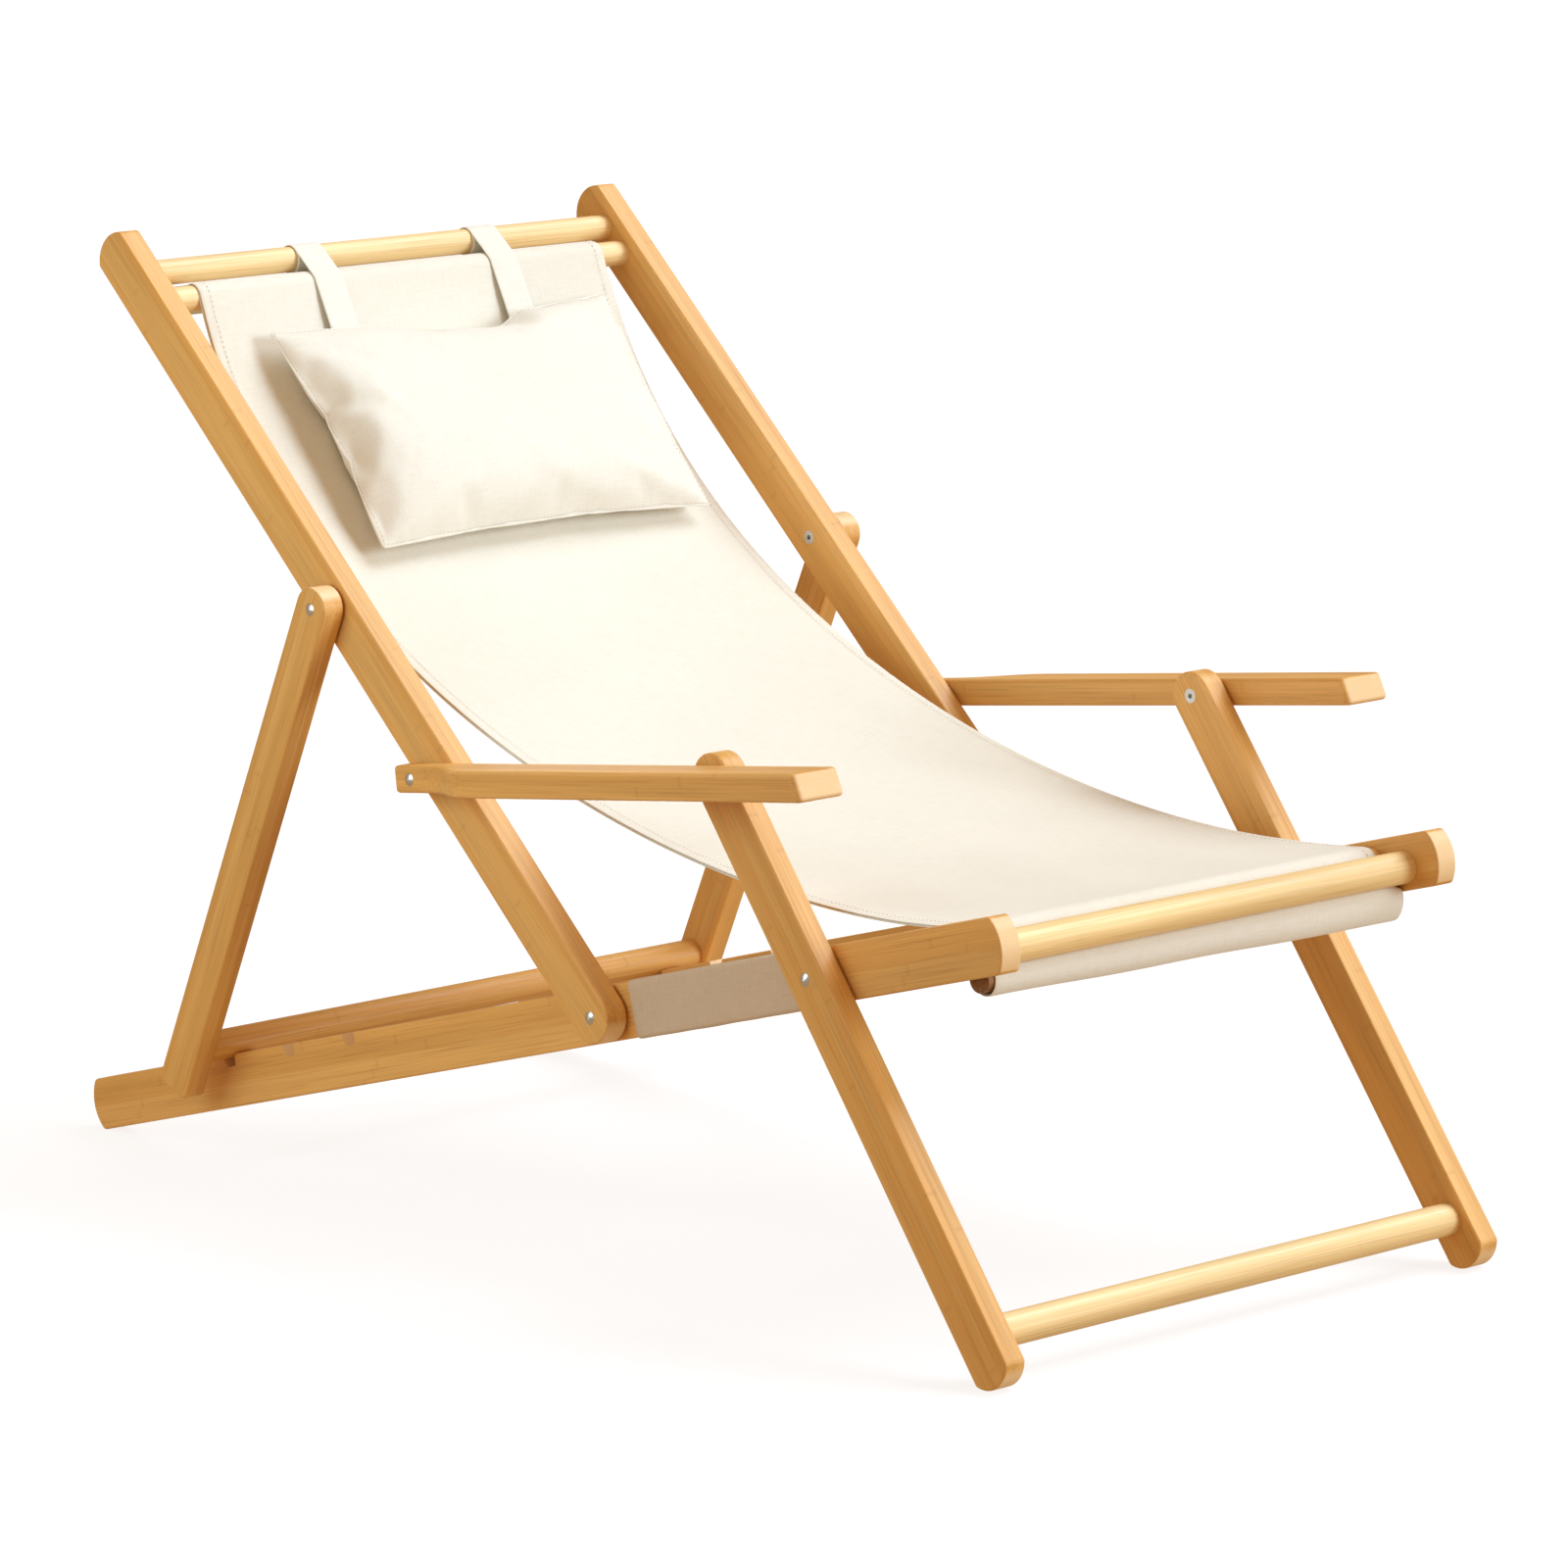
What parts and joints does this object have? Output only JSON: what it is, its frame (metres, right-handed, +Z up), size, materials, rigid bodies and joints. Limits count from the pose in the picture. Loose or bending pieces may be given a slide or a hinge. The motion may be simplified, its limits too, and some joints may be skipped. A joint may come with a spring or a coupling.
{
  "type": "folding beach chair",
  "caption": "Folding sling chair with notched base rails, a propped reclining back, armrests, a hanging canvas sling and a padded head pillow held by straps",
  "frame": {"origin": "on the floor, under the middle of the open chair", "axes": "X across the chair, the chair faces -Y, +Z up"},
  "size_m": [0.6144, 1.0843, 0.7412],
  "materials": {
    "bamboo": "satin lacquered bamboo with a fine straight grain",
    "rod_wood": "plain brown dowel",
    "sling_canvas": "plain woven off-white canvas",
    "pillow_canvas": "plain woven off-white canvas over soft filling",
    "band_cloth": "plain taupe cloth",
    "steel": "bright zinc-plated steel"
  },
  "bodies": {
    "base": {"base_rail_right": "bamboo", "base_rail_left": "bamboo", "front_crossbar": "bamboo", "front_guide_dowel": "bamboo", "sling_front_rod": "rod_wood", "sling_seat": "sling_canvas", "rail_band": "band_cloth", "back_pivot_sleeves": "steel", "back_pivot_bolts": "steel", "back_pivot_washers": "steel", "leg_pivot_sleeves": "steel", "leg_pivot_bolts": "steel", "leg_pivot_washers": "steel"},
    "back": {"back_rail_right": "bamboo", "back_rail_left": "bamboo", "top_crossbar": "bamboo", "top_guide_dowel": "bamboo", "sling_top_rod": "rod_wood", "sling_back": "sling_canvas", "pillow": "pillow_canvas", "pillow_strap_right": "pillow_canvas", "pillow_strap_left": "pillow_canvas", "arm_rear_pivot_sleeves": "steel", "arm_rear_pivot_bolts": "steel", "arm_rear_pivot_washers": "steel", "stand_pivot_sleeves": "steel", "stand_pivot_bolts": "steel", "stand_pivot_washers": "steel"},
    "legs": {"leg_right": "bamboo", "leg_left": "bamboo", "foot_crossbar": "bamboo", "arm_front_pivot_bolts": "steel", "arm_front_pivot_washers": "steel"},
    "arms": {"armrest_right": "bamboo", "armrest_left": "bamboo", "arm_front_pivot_bushings": "steel"},
    "stand": {"stand_leg_right": "bamboo", "stand_leg_left": "bamboo", "stand_crossbar": "bamboo"}
  },
  "joints": [
    {"name": "back_fold", "type": "hinge", "parent": "base", "child": "back", "pos_m": [0, -0.09844, 0.20047], "axis": [-1, 0, 0], "range_deg": [0, 58.66]},
    {"name": "leg_fold", "type": "hinge", "parent": "base", "child": "legs", "pos_m": [0, -0.33399, 0.26784], "axis": [-1, 0, 0], "range_deg": [0, 68.86]},
    {"name": "arm_fold", "type": "hinge", "parent": "back", "child": "arms", "pos_m": [0, 0.082, 0.35883], "axis": [-1, 0, 0], "range_deg": [-49.25, 0]},
    {"name": "stand_fold", "type": "hinge", "parent": "back", "child": "stand", "pos_m": [0, 0.19889, 0.47488], "axis": [-1, 0, 0], "range_deg": [-116.69, 0]}
  ],
  "couplings": [
    {"joint": "leg_fold", "follows": "back_fold", "ratio": 1.1737},
    {"joint": "arm_fold", "follows": "back_fold", "ratio": -0.83946},
    {"joint": "stand_fold", "follows": "back_fold", "ratio": -1.9891}
  ]
}
